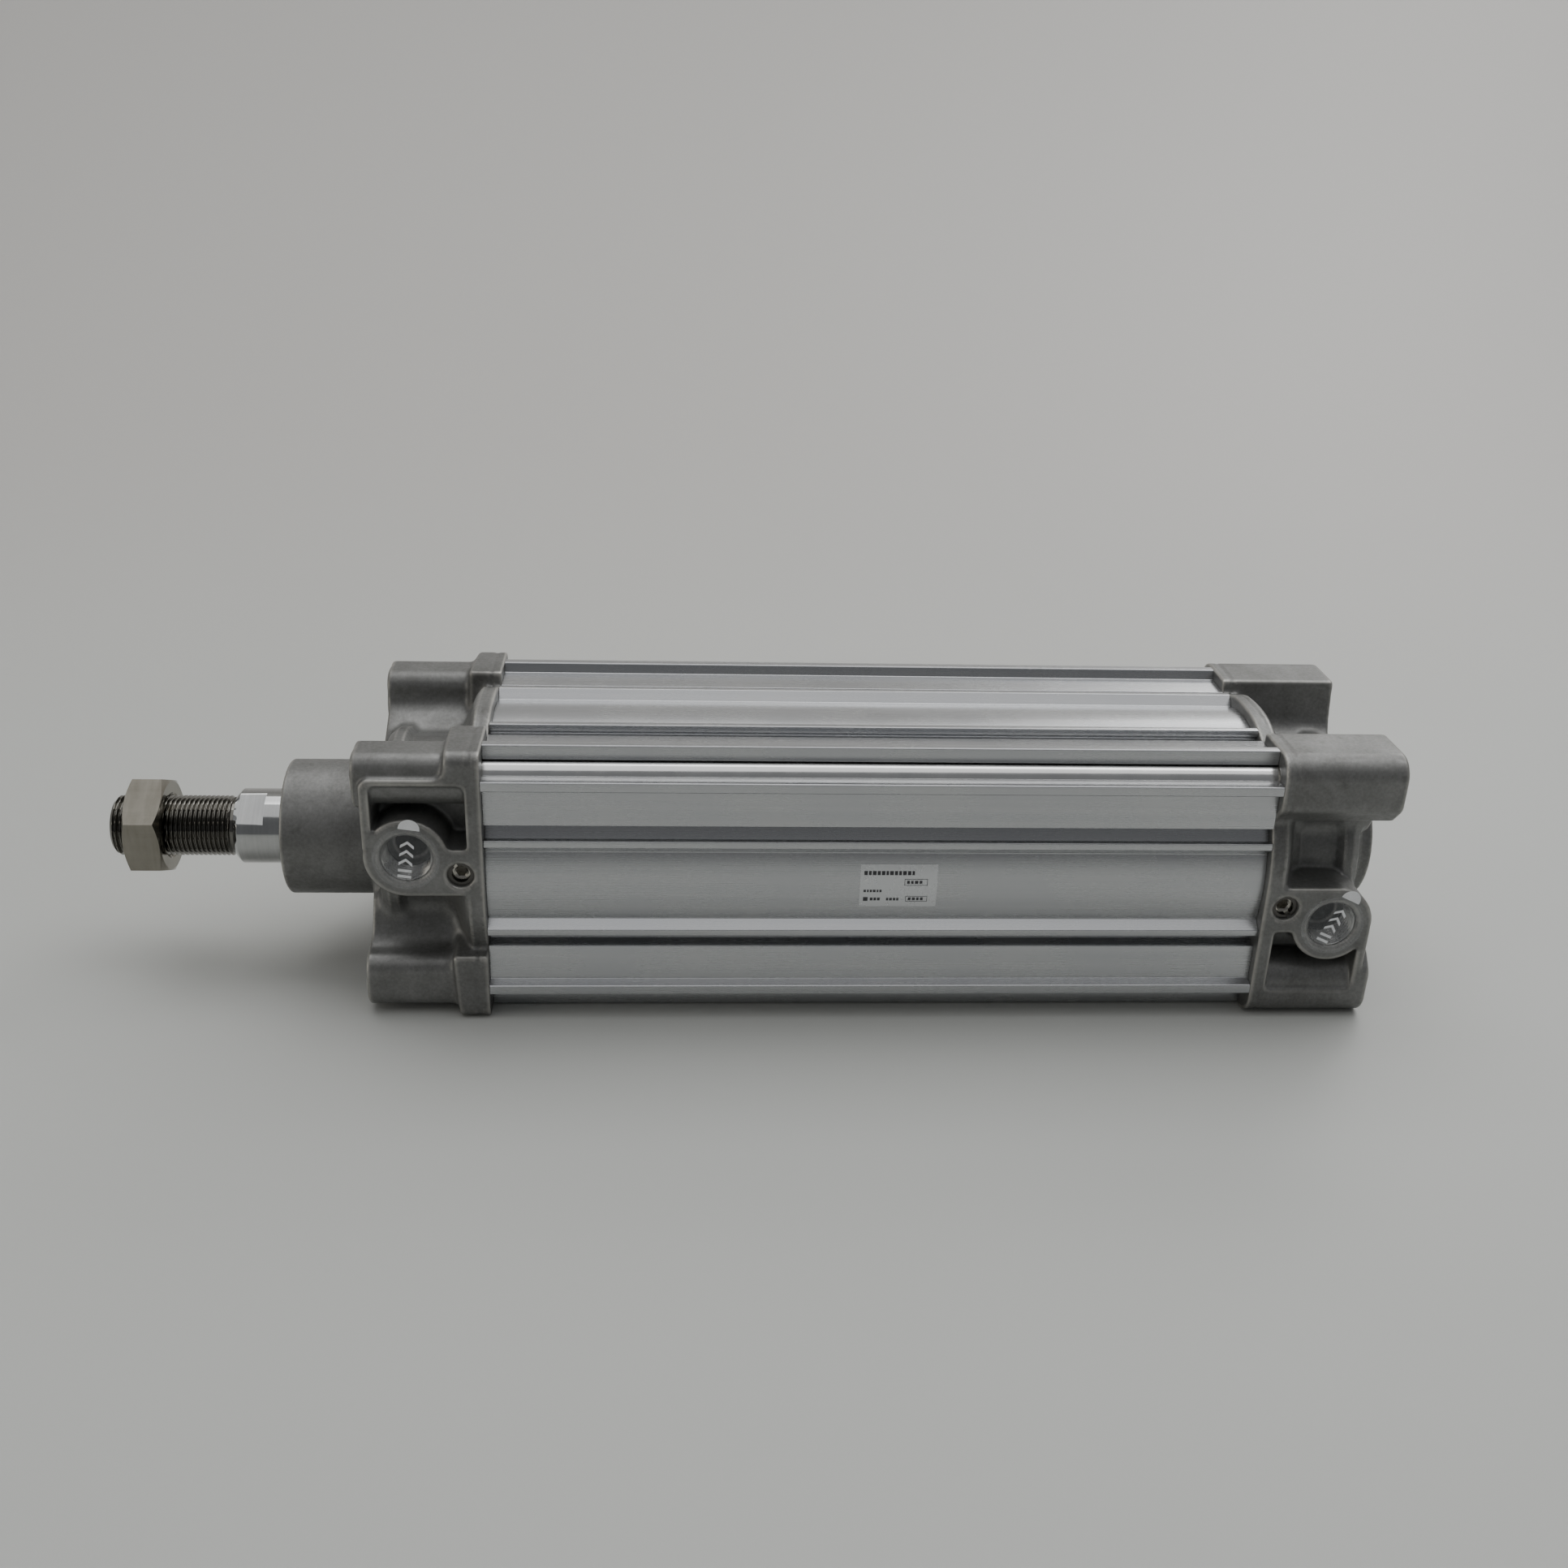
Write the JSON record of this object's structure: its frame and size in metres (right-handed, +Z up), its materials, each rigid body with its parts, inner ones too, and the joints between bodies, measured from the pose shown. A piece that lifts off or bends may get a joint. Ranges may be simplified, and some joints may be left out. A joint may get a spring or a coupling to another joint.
{
  "type": "pneumatic cylinder",
  "caption": "Double-acting pneumatic cylinder with a profile barrel, exposed tie rods, cast covers with ports and cushion needles, and a threaded chrome rod with a hex nut.",
  "frame": {"origin": "centre of the rod cover's mounting face, on the cylinder's axis", "axes": "+X along the axis from the rod end to the head end, +Z up, the ports face -Y"},
  "size_m": [0.418, 0.0932, 0.093],
  "materials": {
    "anodised_tube": "satin clear anodised, extruded",
    "cast_cover": "matte die-cast, tumbled, lightly stained",
    "tie_steel": "bright drawn, zinc plated",
    "nut_steel": "zinc plated",
    "rod_chrome": "hard chrome, mirror polished",
    "nut_nickel": "nickel plated, glossy",
    "piston_alloy": "turned",
    "seal_rubber": "satin",
    "bushing_bronze": "sintered",
    "wear_plastic": "matte",
    "magnet_black": "matte",
    "needle_steel": "turned",
    "port_film": "clear film, glossy",
    "label_foil": "silver foil, glossy"
  },
  "bodies": {
    "barrel": {"cylinder_tube": "anodised_tube", "rod_cover": "cast_cover", "head_cover": "cast_cover", "rod_cover_spigot": "cast_cover", "head_cover_spigot": "cast_cover", "tie_rod_1": "tie_steel", "tie_rod_2": "tie_steel", "tie_rod_3": "tie_steel", "tie_rod_4": "tie_steel", "front_tie_nut_1": "nut_steel", "front_tie_nut_2": "nut_steel", "front_tie_nut_3": "nut_steel", "front_tie_nut_4": "nut_steel", "rear_tie_nut_1": "nut_steel", "rear_tie_nut_2": "nut_steel", "rear_tie_nut_3": "nut_steel", "rear_tie_nut_4": "nut_steel", "front_tube_gasket": "seal_rubber", "rear_tube_gasket": "seal_rubber", "rod_bushing": "bushing_bronze", "rod_seal": "seal_rubber", "front_cushion_seal": "seal_rubber", "rear_cushion_seal": "seal_rubber", "rod_cover_needle_clip": "nut_steel", "head_cover_needle_clip": "nut_steel", "name_label": "label_foil"},
    "piston_rings": {"piston_seal": "seal_rubber", "wear_ring": "wear_plastic"},
    "rod": {"piston_rod": "rod_chrome", "piston": "piston_alloy", "magnet_ring": "magnet_black", "piston_gasket": "seal_rubber", "front_cushion_ring": "piston_alloy", "rear_cushion_nut": "nut_steel"},
    "rod_nut": {"rod_end_nut": "nut_nickel"},
    "rod_cover_needle_ring": {"rod_cover_needle_seal": "seal_rubber"},
    "rod_cover_needle_screw": {"rod_cover_needle": "needle_steel"},
    "head_cover_needle_ring": {"head_cover_needle_seal": "seal_rubber"},
    "head_cover_needle_screw": {"head_cover_needle": "needle_steel"},
    "rod_cover_film": {"rod_cover_port_film": "port_film"},
    "head_cover_film": {"head_cover_port_film": "port_film"}
  },
  "joints": [
    {"name": "rod_slide", "type": "slide", "parent": "barrel", "child": "piston_rings", "axis": [-1, 0, 0], "range_m": [0, 0.2]},
    {"name": "rod_turn", "type": "hinge", "parent": "piston_rings", "child": "rod", "pos_m": [0.2, 0, 0], "axis": [-1, 0, 0], "continuous": true},
    {"name": "rod_nut_turn", "type": "hinge", "parent": "rod", "child": "rod_nut", "pos_m": [-0.0744, 0, 0], "axis": [-1, 0, 0], "continuous": true},
    {"name": "rod_cover_needle_advance", "type": "slide", "parent": "barrel", "child": "rod_cover_needle_ring", "axis": [0, 1, 0], "range_m": [-0.0005, 0.002]},
    {"name": "rod_cover_needle_turn", "type": "hinge", "parent": "rod_cover_needle_ring", "child": "rod_cover_needle_screw", "pos_m": [0.0323, -0.0385, 0.0056], "axis": [0, 1, 0], "range_deg": [-190, 730]},
    {"name": "head_cover_needle_advance", "type": "slide", "parent": "barrel", "child": "head_cover_needle_ring", "axis": [0, 1, 0], "range_m": [-0.0005, 0.002]},
    {"name": "head_cover_needle_turn", "type": "hinge", "parent": "head_cover_needle_ring", "child": "head_cover_needle_screw", "pos_m": [0.2957, -0.0385, -0.0056], "axis": [0, 1, 0], "range_deg": [-190, 730]},
    {"name": "rod_cover_film_peel", "type": "slide", "parent": "barrel", "child": "rod_cover_film", "axis": [0, -1, 0], "range_m": [0, 0.06]},
    {"name": "head_cover_film_peel", "type": "slide", "parent": "barrel", "child": "head_cover_film", "axis": [0, -1, 0], "range_m": [0, 0.06]}
  ],
  "couplings": [
    {"joint": "rod_cover_needle_turn", "follows": "rod_cover_needle_advance", "rad_per_m": 6283.2},
    {"joint": "head_cover_needle_turn", "follows": "head_cover_needle_advance", "rad_per_m": 6283.2}
  ]
}
